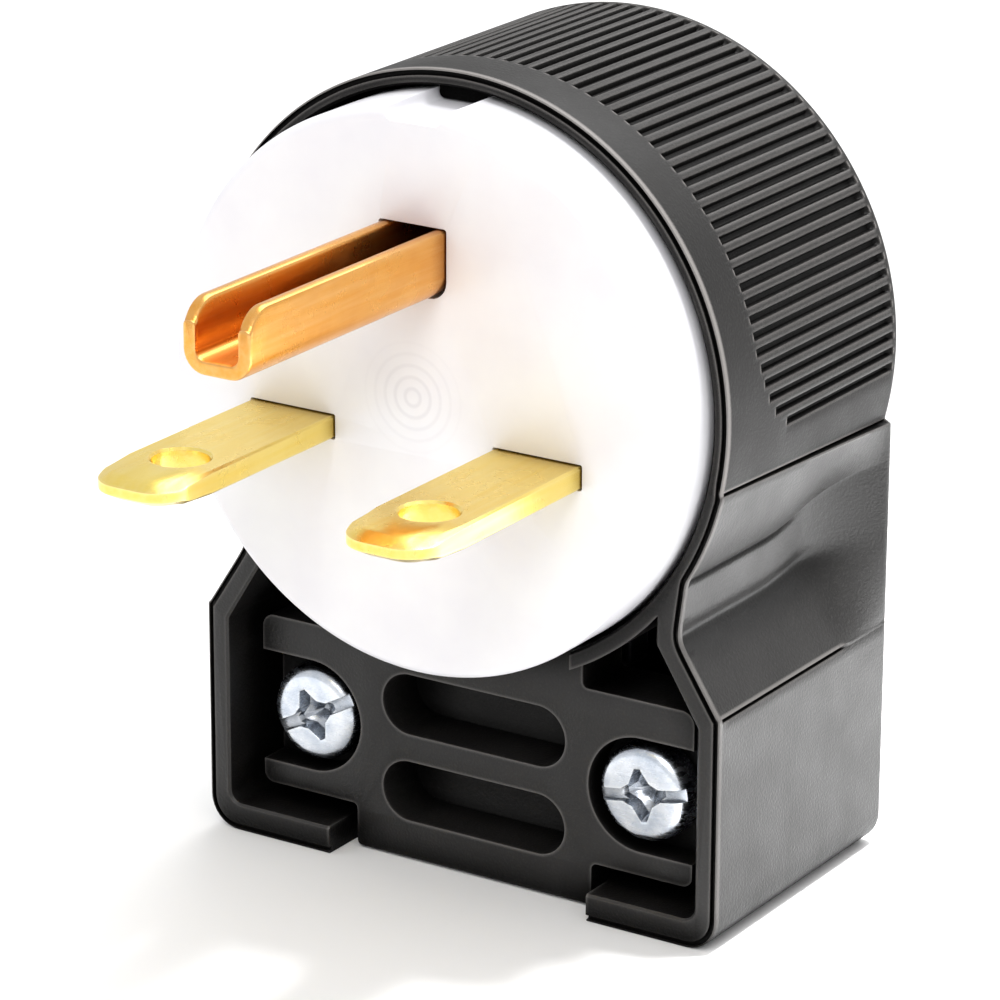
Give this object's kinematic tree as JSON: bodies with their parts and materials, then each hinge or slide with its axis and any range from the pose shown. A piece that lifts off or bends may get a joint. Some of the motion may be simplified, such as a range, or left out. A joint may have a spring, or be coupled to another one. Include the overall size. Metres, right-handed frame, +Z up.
{
  "type": "angled power plug",
  "caption": "Angled grounding power plug with a ribbed black housing, a round white mating face, flat blades, a U-shaped ground pin and a screwed cord clamp.",
  "frame": {"origin": "centre of the round mating face", "axes": "-Y out of the mating face, along the blades; +Z up, away from the cord outlet; +X right when looking at the face"},
  "size_m": [0.0396, 0.0471, 0.0546],
  "materials": {
    "black_nylon": "fine moulded grain",
    "white_nylon": "smooth, slightly glossy",
    "terminal_plastic": "smooth",
    "blade_brass": "rolled and stamped",
    "ground_brass": "rolled and folded",
    "zinc_steel": "bright zinc plate",
    "brass_screw": "turned",
    "green_screw": "green dyed plate"
  },
  "bodies": {
    "plug": {"housing": "black_nylon", "plug_face": "white_nylon", "terminal_body": "terminal_plastic", "line_blade_left": "blade_brass", "line_blade_right": "blade_brass", "ground_pin": "ground_brass", "body_screw_left": "zinc_steel", "body_screw_right": "zinc_steel", "clamp_nut_left": "zinc_steel", "clamp_nut_right": "zinc_steel"},
    "cord_clamp": {"cord_clamp": "black_nylon"},
    "cord_clamp_screw_left": {"cord_clamp_screw_left": "zinc_steel"},
    "cord_clamp_screw_right": {"cord_clamp_screw_right": "zinc_steel"},
    "wire_plate_left": {"wire_plate_left": "zinc_steel"},
    "terminal_screw_left": {"terminal_screw_left": "brass_screw"},
    "wire_plate_right": {"wire_plate_right": "zinc_steel"},
    "terminal_screw_right": {"terminal_screw_right": "brass_screw"},
    "wire_plate_ground": {"wire_plate_ground": "zinc_steel"},
    "terminal_screw_ground": {"terminal_screw_ground": "green_screw"}
  },
  "joints": [
    {"name": "cord_clamp_slide", "type": "slide", "parent": "plug", "child": "cord_clamp", "axis": [0, 1, 0], "range_m": [-0.0025, 0.002]},
    {"name": "cord_clamp_screw_left_turn", "type": "hinge", "parent": "cord_clamp", "child": "cord_clamp_screw_left", "pos_m": [-0.0127, 0.0091, -0.0262], "axis": [0, 1, 0], "range_deg": [-1136.1, 908.9]},
    {"name": "cord_clamp_screw_right_turn", "type": "hinge", "parent": "cord_clamp", "child": "cord_clamp_screw_right", "pos_m": [0.0127, 0.0091, -0.0262], "axis": [0, 1, 0], "range_deg": [-1136.1, 908.9]},
    {"name": "wire_plate_left_slide", "type": "slide", "parent": "plug", "child": "wire_plate_left", "axis": [0, 1, 0], "range_m": [0, 0.0022]},
    {"name": "terminal_screw_left_turn", "type": "hinge", "parent": "wire_plate_left", "child": "terminal_screw_left", "pos_m": [-0.0088, 0.01412, -0.0069], "axis": [0, 1, 0], "range_deg": [0, 999.8]},
    {"name": "wire_plate_right_slide", "type": "slide", "parent": "plug", "child": "wire_plate_right", "axis": [0, 1, 0], "range_m": [0, 0.0022]},
    {"name": "terminal_screw_right_turn", "type": "hinge", "parent": "wire_plate_right", "child": "terminal_screw_right", "pos_m": [0.0088, 0.01412, -0.0069], "axis": [0, 1, 0], "range_deg": [0, 999.8]},
    {"name": "wire_plate_ground_slide", "type": "slide", "parent": "plug", "child": "wire_plate_ground", "axis": [0, 1, 0], "range_m": [0, 0.0022]},
    {"name": "terminal_screw_ground_turn", "type": "hinge", "parent": "wire_plate_ground", "child": "terminal_screw_ground", "pos_m": [0, 0.01412, 0.0014], "axis": [0, 1, 0], "range_deg": [0, 999.8]}
  ],
  "couplings": [
    {"joint": "cord_clamp_screw_left_turn", "follows": "cord_clamp_slide", "rad_per_m": 7915.8},
    {"joint": "cord_clamp_screw_right_turn", "follows": "cord_clamp_slide", "rad_per_m": 7915.8},
    {"joint": "terminal_screw_left_turn", "follows": "wire_plate_left_slide", "rad_per_m": 7915.8},
    {"joint": "terminal_screw_right_turn", "follows": "wire_plate_right_slide", "rad_per_m": 7915.8},
    {"joint": "terminal_screw_ground_turn", "follows": "wire_plate_ground_slide", "rad_per_m": 7915.8}
  ]
}
